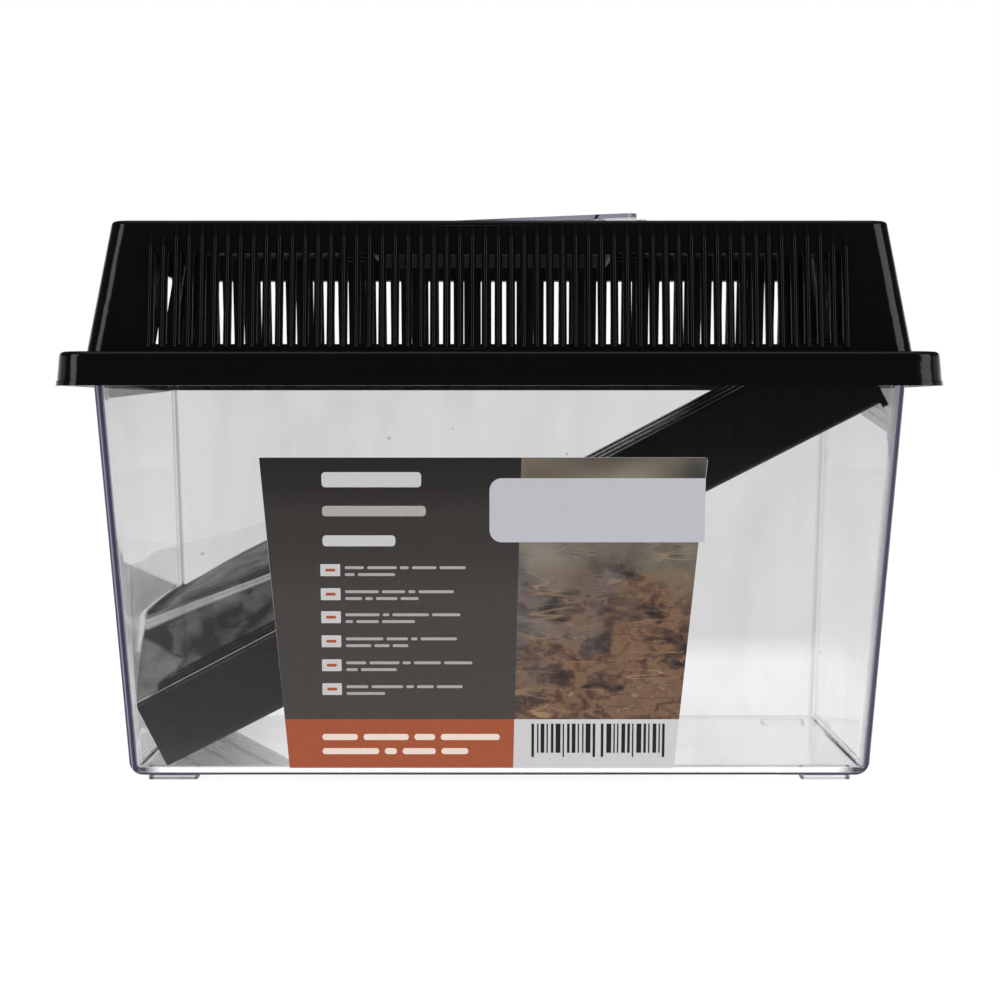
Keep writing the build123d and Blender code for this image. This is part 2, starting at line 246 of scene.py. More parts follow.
def edge_tint_and_painted_light_masks(nt, c):
    """Masks over the tank's rounded corners and edges, where thick polystyrene looks dark violet: the corner, tinted
    violet with painted shade, and the pale line down its middle, a painted highlight; painted dark lines along the
    lower edges, a painted glow along the front lower edge, and painted shade on the end walls and under the tubes."""
    sep = nt.nodes.new("ShaderNodeSeparateXYZ")
    link(nt, c, sep.inputs[0])
    z = math_node(nt, "SUBTRACT", sep.outputs["Z"], 0.0017)
    dx = math_node(nt, "SUBTRACT", math_node(nt, "ADD", math_node(nt, "MULTIPLY", z, 0.0557), 0.13037),
                   math_node(nt, "ABSOLUTE", sep.outputs["X"]))
    dy = math_node(nt, "SUBTRACT", math_node(nt, "ADD", math_node(nt, "MULTIPLY", z, 0.1658), 0.06642),
                   math_node(nt, "ABSOLUTE", sep.outputs["Y"]))
    far = math_node(nt, "MAXIMUM", dx, dy)
    front = remap(nt, sep.outputs["Y"], -0.01, 0.01, 1.0, 0.0)
    left = remap(nt, sep.outputs["X"], -0.01, 0.01, 1.0, 0.0)
    right = math_node(nt, "MAXIMUM", remap(nt, far, 0.0021, 0.0031, 1.0, 0.0), remap(nt, far, 0.0026, 0.0050, 0.30, 0.0))
    strong = mix_value(nt, left, right, remap(nt, far, 0.0028, 0.0040, 1.0, 0.0))
    strong = math_node(nt, "MULTIPLY", strong, front)
    weak = mix_value(nt, left, remap(nt, far, 0.0016, 0.0040, 0.16, 0.0), remap(nt, far, 0.0015, 0.0032, 0.46, 0.0))
    weak = math_node(nt, "MULTIPLY", weak, math_node(nt, "SUBTRACT", 1.0, front))
    corner = math_node(nt, "ADD", strong, weak, clamp=True)
    # the flange and its turned-down edge stay clear
    corner = math_node(nt, "MULTIPLY", corner, remap(nt, z, 0.1385, 0.1400, 1.0, 0.0))
    # painted highlight: a pale line down the middle of the left corners
    off = math_node(nt, "ABSOLUTE", math_node(nt, "SUBTRACT", dx, 0.00145))
    line = math_node(nt, "MULTIPLY", remap(nt, off, 0.00008, 0.00042, 1.0, 0.0), corner, clamp=True)
    line = math_node(nt, "MULTIPLY", line, left)
    # painted dark line along the lower edge, thin, all round
    close = math_node(nt, "MINIMUM", dx, dy)
    near = math_node(nt, "MAXIMUM", math_node(nt, "MULTIPLY", remap(nt, dy, 0.0040, 0.0048, 1.0, 0.0), front),
                     math_node(nt, "MULTIPLY", remap(nt, dx, 0.0014, 0.0022, 1.0, 0.0), 0.8))
    low = math_node(nt, "MULTIPLY", remap(nt, z, 0.0009, 0.0013, 1.0, 0.0), near, clamp=True)
    low = math_node(nt, "MULTIPLY", low, remap(nt, z, -0.0003, -0.0001, 0.0, 1.0), clamp=True)
    # painted dark lines, fainter, on the inner lower edge and at the ends of the feet
    inside = math_node(nt, "MULTIPLY", band(nt, z, 0.0023, 0.0035), band(nt, close, 0.0018, 0.0036))
    inside = math_node(nt, "MULTIPLY", inside, 0.12)
    ax = math_node(nt, "ABSOLUTE", sep.outputs["X"])
    ends = math_node(nt, "MAXIMUM", remap(nt, ax, 0.1226, 0.1231, 0.0, 0.7), remap(nt, ax, 0.1073, 0.1077, 0.7, 0.0), clamp=True)
    ends = math_node(nt, "MULTIPLY", ends, remap(nt, z, -0.0004, -0.0001, 1.0, 0.0), clamp=True)
    low = math_node(nt, "MAXIMUM", math_node(nt, "MAXIMUM", low, inside), ends)
    # light gathered from the table runs along the front lower edge
    pale = math_node(nt, "MULTIPLY", band(nt, z, 0.0011, 0.0037), remap(nt, dy, 0.0021, 0.0025, 1.0, 0.0))
    pale = math_node(nt, "MULTIPLY", pale, remap(nt, dx, 0.006, 0.012, 0.0, 1.0))
    pale = math_node(nt, "MULTIPLY", pale, front, clamp=True)
    # painted shade: the end walls of the box are darker, above all near the top
    tone = nt.nodes.new("ShaderNodeValToRGB")
    link(nt, remap(nt, sep.outputs["Z"], 0.0, 0.150, 0.0, 1.0), tone.inputs["Fac"])
    for i, (h, v) in enumerate(((28.0, 1.0), (146.0, 0.70), (42.0, 0.83), (72.0, 0.88), (100.0, 0.87), (116.0, 0.80), (132.0, 0.73))):
        el = tone.color_ramp.elements[i] if i < 2 else tone.color_ramp.elements.new(h / 150.0)
        el.position = h / 150.0
        el.color = (v, v, v, 1)
    end_wall_painted_shade = math_node(nt, "MULTIPLY", remap(nt, dx, 0.0022, 0.0028, 1.0, 0.0), remap(nt, dy, 0.003, 0.007, 0.0, 1.0))
    dull = mix_color(nt, end_wall_painted_shade, (1.0, 1.0, 1.0), tone.outputs["Color"])
    # shade under the tubes' low ends, on the tank's floor
    plate = math_node(nt, "MULTIPLY", remap(nt, z, 0.0031, 0.0035, 1.0, 0.0), remap(nt, close, 0.0030, 0.0060, 0.0, 1.0))
    wavy = math_node(nt, "ADD", sep.outputs["X"], math_node(nt, "MULTIPLY", noise_tex(nt, c, 60.0, 2.0), 0.008))
    plate = math_node(nt, "MULTIPLY", plate, remap(nt, wavy, -0.100, -0.068, 1.0, 0.0))
    dull = mix_color(nt, plate, dull, (0.54, 0.525, 0.505))
    return math_node(nt, "MAXIMUM", corner, low, clamp=True), line, pale, dull


def worn_wall(nt, c):
    """Faint upright streaks and blotches from wiping, and a few dark specks."""
    streak = noise_tex(nt, c, 46.0, 3.0, 0.55, 0.2, (1.0, 1.0, 0.10))
    blotch = noise_tex(nt, c, 20.0, 4.0, 0.6, 0.6)
    faint = math_node(nt, "ADD", remap(nt, streak, 0.50, 0.70, 0.0, 0.10), remap(nt, blotch, 0.50, 0.70, 0.0, 0.08))
    vor = nt.nodes.new("ShaderNodeTexVoronoi")
    vor.feature = "F1"
    vor.inputs["Scale"].default_value = 60.0
    link(nt, c, vor.inputs["Vector"])
    pick = nt.nodes.new("ShaderNodeSeparateColor")
    link(nt, vor.outputs["Color"], pick.inputs[0])
    some = remap(nt, pick.outputs["Red"], 0.55, 0.60, 0.0, 1.0)
    speck = math_node(nt, "MULTIPLY", remap(nt, vor.outputs["Distance"], 0.030, 0.045, 0.9, 0.0), some)
    return math_node(nt, "ADD", faint, speck, clamp=True)


def clear_plastic(name, tint, rough, absorb, density, edge_tint_and_painted_shade=None):
    m, nt, out = material(name)
    c = coords(nt)
    flow = noise_tex(nt, c, 14.0, 3.0, 0.5, 0.6, (1.0, 1.0, 0.5))
    p = principled(nt, **{"IOR": 1.585, "Transmission Weight": 1.0})
    link(nt, remap(nt, flow, 0.35, 0.65, rough * 0.6, rough * 1.4), p.inputs["Roughness"])
    link(nt, bump(nt, flow, 0.04, 0.0005), p.inputs["Normal"])
    surface = p.outputs[0]
    if edge_tint_and_painted_shade is None:
        p.inputs["Base Color"].default_value = (*tint, 1.0)
    else:
        edge, line, pale, dull = edge_tint_and_painted_light_masks(nt, c)
        wall = mix_color(nt, worn_wall(nt, c), tint, (0.42, 0.42, 0.43))
        # painted shade: the end walls darker by height, and the floor darker under the tubes' low ends
        both = nt.nodes.new("ShaderNodeVectorMath")
        both.operation = "MULTIPLY"
        link(nt, wall, both.inputs[0])
        link(nt, dull, both.inputs[1])
        wall = both.outputs[0]
        # the corners and lower edges take a dark violet: the plastic's own tint with painted shade
        link(nt, mix_color(nt, edge, wall, edge_tint_and_painted_shade), p.inputs["Base Color"])
        # painted shade and highlight: a dark violet diffuse, with the pale painted line, mixed over the corners
        body = nt.nodes.new("ShaderNodeBsdfDiffuse")
        link(nt, mix_color(nt, line, (0.050, 0.044, 0.088), (0.40, 0.38, 0.54)), body.inputs["Color"])
        mixed = nt.nodes.new("ShaderNodeMixShader")
        link(nt, math_node(nt, "MULTIPLY", edge, 0.72), mixed.inputs[0])
        link(nt, p.outputs[0], mixed.inputs[1])
        link(nt, body.outputs[0], mixed.inputs[2])
        # painted glow along the front lower edge: a white diffuse with a faint emission
        glint = nt.nodes.new("ShaderNodeAddShader")
        shine = nt.nodes.new("ShaderNodeBsdfDiffuse")
        shine.inputs["Color"].default_value = (0.95, 0.95, 0.95, 1)
        lift = nt.nodes.new("ShaderNodeEmission")
        lift.inputs["Strength"].default_value = 0.25
        link(nt, shine.outputs[0], glint.inputs[0])
        link(nt, lift.outputs[0], glint.inputs[1])
        topped = nt.nodes.new("ShaderNodeMixShader")
        link(nt, math_node(nt, "MULTIPLY", pale, 0.85), topped.inputs[0])
        link(nt, mixed.outputs[0], topped.inputs[1])
        link(nt, glint.outputs[0], topped.inputs[2])
        surface = topped.outputs[0]
    link(nt, surface, out.inputs["Surface"])
    v = nt.nodes.new("ShaderNodeVolumeAbsorption")
    v.inputs["Color"].default_value = (*absorb, 1.0)
    v.inputs["Density"].default_value = density
    link(nt, v.outputs[0], out.inputs["Volume"])
    return m


M_LID = black_lid()
M_TUBE = black_tube()
M_TANK = clear_plastic("clear_polystyrene", (0.984, 0.984, 0.984), 0.012, (0.16, 0.12, 0.30), 9.0, (0.055, 0.045, 0.105))
M_HATCH = clear_plastic("clear_polystyrene_door", (0.93, 0.93, 0.94), 0.02, (0.42, 0.40, 0.50), 24.0)

assign(N["lid"], M_LID)
for k in (1, 2, 3, 4):
    assign(N[f"tube_{k}"], M_TUBE)
assign(N["tank"], M_TANK)
assign(N["hatch"], M_HATCH)
N["tank"].visible_shadow = False
N["hatch"].visible_shadow = False

# ------------------------------------------------------------------ label
MM = 0.001
LEAN = math.atan(0.1658)


def on_wall(x, z, lift=0.0):
    """A point on the tank's front face, in metres, from millimetres along and up; lift stands off it."""
    return Vector((
        x * MM,
        (-(66.5 + 0.1658 * (z - 2.2)) - lift * math.cos(LEAN)) * MM,
        (z - lift * math.sin(LEAN)) * MM,
    ))


def label_left(z):
    return -81.9 + (114.2 - z) / 109.3 * 8.3


def label_right(z):
    return 71.0 - (114.2 - z) / 109.3 * 9.8


def rounded(x0, z0, x1, z1, r, corners=(1, 1, 1, 1), n=7):
    """Outline of a rounded rectangle; corners are bottom left, bottom right, top right, top left."""
    pts = []
    for (cx, cz, a0), on in zip(
        ((x0 + r, z0 + r, 180), (x1 - r, z0 + r, 270), (x1 - r, z1 - r, 0), (x0 + r, z1 - r, 90)), corners
    ):
        if not on:
            pts.append((x0 if a0 in (180, 90) else x1, z0 if a0 in (180, 270) else z1))
            continue
        for i in range(n + 1):
            a = math.radians(a0 + 90 * i / n)
            pts.append((cx + r * math.cos(a), cz + r * math.sin(a)))
    return pts


def ink(name, rgb, rough=0.34, var=0.06, scale=700.0):
    """Printed film: colour with slight mottling, a satin coat and the faint ripple of a stuck label."""
    m, nt, out = material(name)
    c = coords(nt)
    grain = noise_tex(nt, c, scale, 4.0, 0.6)
    broad = noise_tex(nt, c, 18.0, 2.0, 0.5)
    lo = tuple(v * (1 - var) for v in rgb)
    hi = tuple(min(1.0, v * (1 + var) + 0.0008) for v in rgb)
    base = mix_color(nt, remap(nt, grain, 0.35, 0.65, 0.0, 1.0), lo, hi)
    p = principled(nt, **{"IOR": 1.45})
    link(nt, base, p.inputs["Base Color"])
    link(nt, remap(nt, broad, 0.3, 0.7, rough - 0.04, rough + 0.05), p.inputs["Roughness"])
    link(nt, bump(nt, broad, 0.15, 0.0006), p.inputs["Normal"])
    link(nt, p.outputs[0], out.inputs["Surface"])
    return m


def shaded_ink(name, stops, rough=0.34):
    """Colour that changes with height: stops are (z in mm, colour)."""
    m, nt, out = material(name)
    c = coords(nt)
    sep = nt.nodes.new("ShaderNodeSeparateXYZ")
    link(nt, c, sep.inputs[0])
    z0, z1 = stops[0][0] * MM, stops[-1][0] * MM
    ramp = nt.nodes.new("ShaderNodeValToRGB")
    link(nt, remap(nt, sep.outputs["Z"], z0, z1, 0.0, 1.0), ramp.inputs["Fac"])
    cr = ramp.color_ramp
    for i, (z, rgb) in enumerate(stops):
        q = (z * MM - z0) / (z1 - z0)
        el = cr.elements[0] if i == 0 else cr.elements[-1] if i == len(stops) - 1 else cr.elements.new(q)
        el.position = q
        el.color = (*rgb, 1)
    grain = noise_tex(nt, c, 700.0, 4.0, 0.6)
    tone = nt.nodes.new("ShaderNodeVectorMath")
    tone.operation = "SCALE"
    link(nt, ramp.outputs["Color"], tone.inputs[0])
    link(nt, remap(nt, grain, 0.35, 0.65, 0.94, 1.06), tone.inputs["Scale"])
    broad = noise_tex(nt, c, 18.0, 2.0, 0.5)
    p = principled(nt, **{"IOR": 1.45})
    link(nt, tone.outputs[0], p.inputs["Base Color"])
    link(nt, remap(nt, broad, 0.3, 0.7, rough - 0.04, rough + 0.05), p.inputs["Roughness"])
    link(nt, bump(nt, broad, 0.12, 0.0006), p.inputs["Normal"])
    link(nt, p.outputs[0], out.inputs["Surface"])
    return m


def panel_picture():
    """Generic print: out-of-focus tan and grey ground above, a litter of bark chips and gravel below."""
    m, nt, out = material("print_bark")
    c = coords(nt)
    sep = nt.nodes.new("ShaderNodeSeparateXYZ")
    link(nt, c, sep.inputs[0])
    height = remap(nt, sep.outputs["Z"], 0.0225, 0.1142, 0.0, 1.0)
    side = remap(nt, sep.outputs["X"], 0.006, 0.070, 0.0, 1.0)
    # soft ground, paler at the upper left
    blur = noise_tex(nt, c, 26.0, 1.5, 0.4, 0.5)
    blur2 = noise_tex(nt, c, 48.0, 1.0, 0.4, 0.7, (1.0, 1.0, 1.3))
    tone = math_node(nt, "SUBTRACT", blur, math_node(nt, "MULTIPLY", side, 0.16))
    ramp = nt.nodes.new("ShaderNodeValToRGB")
    link(nt, tone, ramp.inputs["Fac"])
    cr = ramp.color_ramp
    cr.elements[0].position = 0.22
    cr.elements[0].color = (*srgb(64, 63, 59), 1)
    cr.elements[1].position = 0.60
    cr.elements[1].color = (*srgb(154, 148, 137), 1)
    for q, col in ((0.33, (88, 84, 77)), (0.42, (108, 100, 86)), (0.51, (130, 122, 108))):
        e = cr.elements.new(q)
        e.color = (*srgb(*col), 1)
    warm = mix_color(nt, remap(nt, blur2, 0.56, 0.72, 0.0, 0.45), ramp.outputs["Color"], srgb(126, 92, 66))

    def turned(angle, stretch, shift=(0.0, 0.0, 0.0)):
        mp = nt.nodes.new("ShaderNodeMapping")
        mp.inputs["Rotation"].default_value = (0.0, angle, 0.0)
        mp.inputs["Scale"].default_value = stretch
        mp.inputs["Location"].default_value = shift
        link(nt, c, mp.inputs["Vector"])
        return mp.outputs["Vector"]

    def tones(fac, stops):
        r = nt.nodes.new("ShaderNodeValToRGB")
        link(nt, fac, r.inputs["Fac"])
        el = r.color_ramp.elements
        for k, (q, col) in enumerate(stops):
            e = el[k] if k < 2 else el.new(q)
            e.position = q
            e.color = (*srgb(*col), 1)
        return r.outputs["Color"]

    # broken bark: ragged clumps, each with a lit and a shaded side, over fine crumbs
    clump = noise_tex(nt, turned(0.6, (1.0, 1.0, 1.9)), 62.0, 9.0, 0.62, 1.1)
    crumb = noise_tex(nt, turned(-0.5, (1.0, 1.0, 1.3), (0.3, 0.1, 0.2)), 210.0, 6.0, 0.72, 0.6)
    mixed = math_node(nt, "ADD", math_node(nt, "MULTIPLY", clump, 0.62), math_node(nt, "MULTIPLY", crumb, 0.38))
    bark = tones(mixed, ((0.36, (44, 38, 37)), (0.66, (166, 134, 102)), (0.43, (74, 56, 49)), (0.49, (106, 77, 61)),
                         (0.54, (134, 102, 76)), (0.60, (112, 84, 66))))
    grit = tones(mixed, ((0.36, (60, 54, 51)), (0.66, (140, 130, 120)), (0.44, (84, 76, 72)), (0.50, (102, 92, 88)),
                         (0.56, (116, 106, 99)), (0.60, (96, 87, 84))))
    patch = noise_tex(nt, c, 40.0, 2.0, 0.5, 0.3)
    where = math_node(nt, "ADD", math_node(nt, "SUBTRACT", side, height),
                      math_node(nt, "MULTIPLY", math_node(nt, "SUBTRACT", patch, 0.5), 1.6))
    ground = mix_color(nt, remap(nt, where, -0.22, 0.12, 0.0, 1.0), grit, bark)

    # loose fibres and straws, dark beneath and pale on top
    for angle, shift, tone_of, low in ((0.75, 0.0, (176, 146, 110), 0.62), (-0.45, 0.4, (150, 120, 92), 0.60), (0.15, 0.7, (40, 34, 32), 0.56)):
        run = noise_tex(nt, turned(angle, (1.0, 1.0, 6.0), (shift, 0.0, shift)), 26.0, 1.0, 0.4, 0.5)
        gate = noise_tex(nt, turned(angle, (1.0, 1.0, 1.0), (shift, shift, 0.0)), 70.0, 1.0)
        ridge = math_node(nt, "ABSOLUTE", math_node(nt, "SUBTRACT", run, 0.5))
        thread = math_node(nt, "MULTIPLY", remap(nt, ridge, 0.004, 0.014, 0.7, 0.0), remap(nt, gate, 0.50, low, 0.0, 1.0), clamp=True)
        ground = mix_color(nt, thread, ground, srgb(*tone_of))
    # the litter goes out of focus with height, along a wavy line
    line = math_node(nt, "ADD", height, math_node(nt, "MULTIPLY", math_node(nt, "SUBTRACT", blur2, 0.5), 0.8))
    both = mix_color(nt, remap(nt, line, 0.46, 0.78, 0.0, 1.0), ground, warm)
    p = principled(nt, **{"IOR": 1.45, "Roughness": 0.34})
    link(nt, both, p.inputs["Base Color"])
    link(nt, p.outputs[0], out.inputs["Surface"])
    return m


def build_label():
    mats, index = [], {}

    def mat(name, make):
        if name not in index:
            index[name] = len(mats)
            mats.append(make())
        return index[name]

    back = mat("back", lambda: ink("label_backing", srgb(226, 226, 228), 0.45, 0.02))
    white = mat("white", lambda: ink("print_white", srgb(214, 211, 212), 0.34, 0.02))
    dark = mat("dark", lambda: shaded_ink("print_warm_grey", (
        (22.5, srgb(74, 69, 66)), (66.0, srgb(72, 67, 64)), (82.0, srgb(62, 58, 55)), (94.0, srgb(61, 56, 53)),
        (104.0, srgb(49, 44, 44)), (114.2, srgb(41, 40, 40)))))
    orange = mat("orange", lambda: ink("print_orange", srgb(172, 84, 48), 0.34, 0.05))
    badge = mat("badge", lambda: ink("print_pale_lavender", srgb(196, 195, 202), 0.34, 0.02))
    text = mat("text", lambda: ink("print_light_bars", srgb(206, 204, 204), 0.34, 0.03))
    soft = mat("soft", lambda: ink("print_soft_bars", srgb(176, 171, 168), 0.34, 0.03))
    pale_o = mat("pale_o", lambda: ink("print_pale_on_orange", srgb(246, 226, 212), 0.34, 0.03))
    black = mat("black", lambda: ink("print_black", srgb(28, 26, 27), 0.34, 0.08))
    pic = mat("pic", panel_picture)

    verts, faces, fm = [], [], []

    def poly(pts, lift, mi, flip=False):
        i0 = len(verts)
        for x, z in pts:
            verts.append(on_wall(x, z, lift))
        f = list(range(i0, len(verts)))
        faces.append(f[::-1] if flip else f)
        fm.append(mi)

    # body of the label, with softly rounded corners
    zt, zb = 114.2, 4.9
    r = 0.8
    outline = [
        (label_left(zb) + r, zb), (label_right(zb) - r, zb), (label_right(zb), zb + r),
        (label_right(zt), zt - r), (label_right(zt) - r, zt), (label_left(zt) + r, zt),
        (label_left(zt), zt - r), (label_left(zb), zb + r),
    ]
    n = len(outline)
    i0 = len(verts)
    for lift in (0.03, 0.18):
        for x, z in outline:
            verts.append(on_wall(x, z, lift))
    faces.append(list(range(i0, i0 + n))[::-1]); fm.append(back)
    faces.append(list(range(i0 + n, i0 + 2 * n))); fm.append(white)
    for i in range(n):
        j = (i + 1) % n
        faces.append([i0 + i, i0 + j, i0 + n + j, i0 + n + i]); fm.append(white)
    L1, L2, L3 = 0.20, 0.215, 0.23
    e = 0.06
    z_band = 22.5
    poly([(label_left(z_band) + e, z_band), (5.2, z_band), (7.5, zt - e), (label_left(zt) + e, zt - e)], L1, dark)
    poly([(label_left(zb) + e, zb + e), (4.8, zb + e), (5.2, z_band), (label_left(z_band) + e, z_band)], L1, orange)
    poly([(5.2, z_band), (label_right(z_band) - e, z_band), (label_right(zt) - e, zt - e), (7.5, zt - e)], L1, pic)
    poly(rounded(-3.4, 85.0, 70.4, 107.1, 4.2, (1, 0, 0, 1), 9), L2, badge)
    # plain bars in place of the words: words of uneven length, none of them readable
    def words(x, z0, z1, lengths, mi, gap):
        r = min(0.45 * (z1 - z0), 1.2)
        for w in lengths:
            poly(rounded(x, z0, x + w, z1, r, n=4), L2, mi)
            x += w + gap
    words(-60.7, 104.0, 109.2, (34.0,), text, 2.0)
    words(-60.7, 94.0, 97.6, (35.5,), soft, 2.0)
    words(-60.7, 83.6, 87.4, (25.0,), text, 2.0)
    lines = (
        ((6.6, 10.2, 3.0, 8.4, 9.0), (3.4, 12.8)),
        ((11.6, 8.0, 2.4, 12.2), (5.8, 2.6, 7.4, 6.2)),
        ((11.8, 2.2, 12.6, 9.8), (2.6, 7.8, 11.4)),
        ((13.0, 7.4, 2.2, 12.6), (8.8, 5.2, 5.4)),
        ((7.0, 10.4, 2.8, 9.4, 9.8), (4.0, 12.4)),
        ((7.6, 11.0, 2.6, 5.8, 9.0), (13.4,)),
    )
    tops = (77.4, 69.0, 60.9, 52.4, 43.9, 35.4)
    for z, (a, b) in zip(tops, lines):
        poly(rounded(-61.6, z - 4.2, -54.8, z, 0.3, n=3), L2, text)
        poly(rounded(-59.9, z - 2.6, -56.5, z - 1.6, 0.3, n=3), L3, orange)
        words(-53.2, z - 1.75, z - 0.75, a, soft, 1.1)
        words(-53.2, z - 4.15, z - 3.15, b, soft, 1.1)
    words(-61.9, 15.0, 17.2, (12.4, 15.8, 7.2, 20.6), pale_o, 2.0)
    words(-61.9, 9.9, 12.1, (19.8, 4.2, 11.6, 9.4), pale_o, 2.0)
    # plain upright bars, alike on both halves so that they spell nothing
    widths = (0.9, 0.5, 1.3, 0.5, 0.9, 1.7, 0.5, 0.9, 1.3, 0.5, 0.5, 1.7, 0.9)
    x = 11.2
    for half in range(2):
        for i, w in enumerate(widths if half == 0 else widths[::-1]):
            low = 8.9 if i in (0, 6, 12) else 10.4
            poly([(x, low), (x + w, low), (x + w, 20.9), (x, 20.9)], L2, black)
            x += w + (0.75 if i % 3 else 1.05)
        x += 0.9
    o = mesh_object("label_print", verts, faces, mats, fm)
    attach(o, "tank")
    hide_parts("front_label")
    return o


build_label()


# ------------------------------------------------------------------ clear bag
def film_material():
    """Thin clear film: it passes light, is darkened by painted shade where leaves of it lie at a slant, and is milky
    where crumpled.
    """
    m, nt, out = material("clear_film")
    c = coords(nt)

    def attribute(name):
        at = nt.nodes.new("ShaderNodeAttribute")
        at.attribute_name = name
        at.attribute_type = "GEOMETRY"
        return at.outputs["Fac"]

    wr = noise_tex(nt, c, 120.0, 4.0, 0.55, 0.5, (1.0, 0.45, 1.0))
    fine = noise_tex(nt, c, 420.0, 3.0, 0.5, 0.8, (0.55, 0.35, 1.0))
    lw = nt.nodes.new("ShaderNodeLayerWeight")
    lw.inputs["Blend"].default_value = 0.5
    slant = remap(nt, lw.outputs["Facing"], 0.02, 0.42, 0.55, 1.0)
    streak = remap(nt, wr, 0.32, 0.68, 0.90, 1.08)
    # painted shade: the attribute darkens what shows through the film, more so at a slant
    darkening = math_node(nt, "MULTIPLY", math_node(nt, "MULTIPLY", attribute("darkening"), slant), streak, clamp=True)
    trans = nt.nodes.new("ShaderNodeBsdfTransparent")
    link(nt, mix_color(nt, darkening, (0.975, 0.975, 0.98), (0.02, 0.02, 0.022)), trans.inputs["Color"])
    diff = nt.nodes.new("ShaderNodeBsdfDiffuse")
    diff.inputs["Color"].default_value = (0.80, 0.768, 0.758, 1)
    tl = nt.nodes.new("ShaderNodeBsdfTranslucent")
    tl.inputs["Color"].default_value = (0.80, 0.768, 0.758, 1)
    milky = nt.nodes.new("ShaderNodeMixShader")
    milky.inputs[0].default_value = 0.45
    link(nt, diff.outputs[0], milky.inputs[1])
    link(nt, tl.outputs[0], milky.inputs[2])
    haze_and_sheen = math_node(nt, "MULTIPLY", attribute("haze_and_sheen"), remap(nt, fine, 0.3, 0.7, 0.88, 1.14), clamp=True)
    body = nt.nodes.new("ShaderNodeMixShader")
    link(nt, haze_and_sheen, body.inputs[0])
    link(nt, trans.outputs[0], body.inputs[1])
    link(nt, milky.outputs[0], body.inputs[2])
    gloss = nt.nodes.new("ShaderNodeBsdfGlossy")
    gloss.inputs["Color"].default_value = (0.75, 0.75, 0.77, 1)
    gloss.inputs["Roughness"].default_value = 0.16
    link(nt, bump(nt, fine, 0.20, 0.0004), gloss.inputs["Normal"])
    fr = nt.nodes.new("ShaderNodeFresnel")
    fr.inputs["IOR"].default_value = 1.45
    top = nt.nodes.new("ShaderNodeMixShader")
    link(nt, math_node(nt, "MULTIPLY", fr.outputs[0], 0.25), top.inputs[0])
    link(nt, body.outputs[0], top.inputs[1])
    link(nt, gloss.outputs[0], top.inputs[2])
    link(nt, top.outputs[0], out.inputs["Surface"])
    return m


def tube_top(x):
    a = math.radians(27.5)
    xt = -122.0 - 12.35 * math.sin(a)
    zt = 15.7 + 12.35 * math.cos(a)
    return zt + (x - xt) * 0.5256


def wall_in_y(z):
    return 66.5 + 0.1658 * (z - 2.2) - 2.0


def wall_in_x(z):
    return 130.4 + 0.0557 * (z - 2.2) - 2.0


def along(x, table):
    """Straight-line reading of a table of (x, value)."""
    if x <= table[0][0]:
        return table[0][1]
    for (x0, v0), (x1, v1) in zip(table, table[1:]):
        if x <= x1:
            return v0 + (v1 - v0) * (x - x0) / (x1 - x0)
    return table[-1][1]


def smooth(a, b, x):
    t = max(0.0, min(1.0, (x - a) / (b - a)))
    return t * t * (3 - 2 * t)


def catmull(points, t):
    n = len(points) - 1
    f = max(0.0, min(n - 1e-6, t * n))
    i = int(f)
    u = f - i
    p0, p1, p2, p3 = points[max(i - 1, 0)], points[i], points[i + 1], points[min(i + 2, n)]
    return tuple(
        0.5 * (2 * b + (c_ - a) * u + (2 * a - 5 * b + 4 * c_ - d) * u * u + (3 * b - a - 3 * c_ + d) * u ** 3)
        for a, b, c_, d in zip(p0, p1, p2, p3)
    )


# heights along the bag, by x in millimetres
FILM_TOP = ((-134.0, 74.6), (-131.0, 75.0), (-111.4, 79.6), (-96.9, 84.2), (-36.0, 101.0))
PILLOW_BACK = ((-134.0, 56.5), (-131.0, 57.8), (-123.4, 61.9), (-112.4, 68.4), (-105.5, 72.3), (-95.8, 77.0), (-36.0, 93.0))
SEAL_UP = ((-134.0, 53.0), (-127.4, 55.4), (-105.8, 63.6), (-83.8, 71.9), (-36.0, 90.0))
SEAL_LOW = ((-134.0, 48.2), (-127.8, 50.4), (-105.0, 59.6), (-83.5, 68.0), (-36.0, 86.4))


def bag_profile(x):
    """(y, z) line of the film at x, from its top edge on the back wall to the tubes' front row."""
    z0, zm, zu, zl, zt = along(x, FILM_TOP), along(x, PILLOW_BACK), along(x, SEAL_UP), along(x, SEAL_LOW), tube_top(x)
    drop = zl - zt
    return [
        (wall_in_y(z0) - 0.7, z0),
        (wall_in_y((z0 + zm) / 2) - 0.8, (z0 + zm) / 2),
        (wall_in_y(zm) - 2.2, zm),
        (44.0, zm + 0.30 * (zu - zm) + 0.5),
        (8.0, zm + 0.62 * (zu - zm) + 0.6),
        (-25.0, zu),
        (-28.5, zl),
        (-41.0, zt + 0.66 * drop),
        (-52.5, zt + 0.26 * drop + 0.6),
        (-60.0, zt + 0.9),
    ]


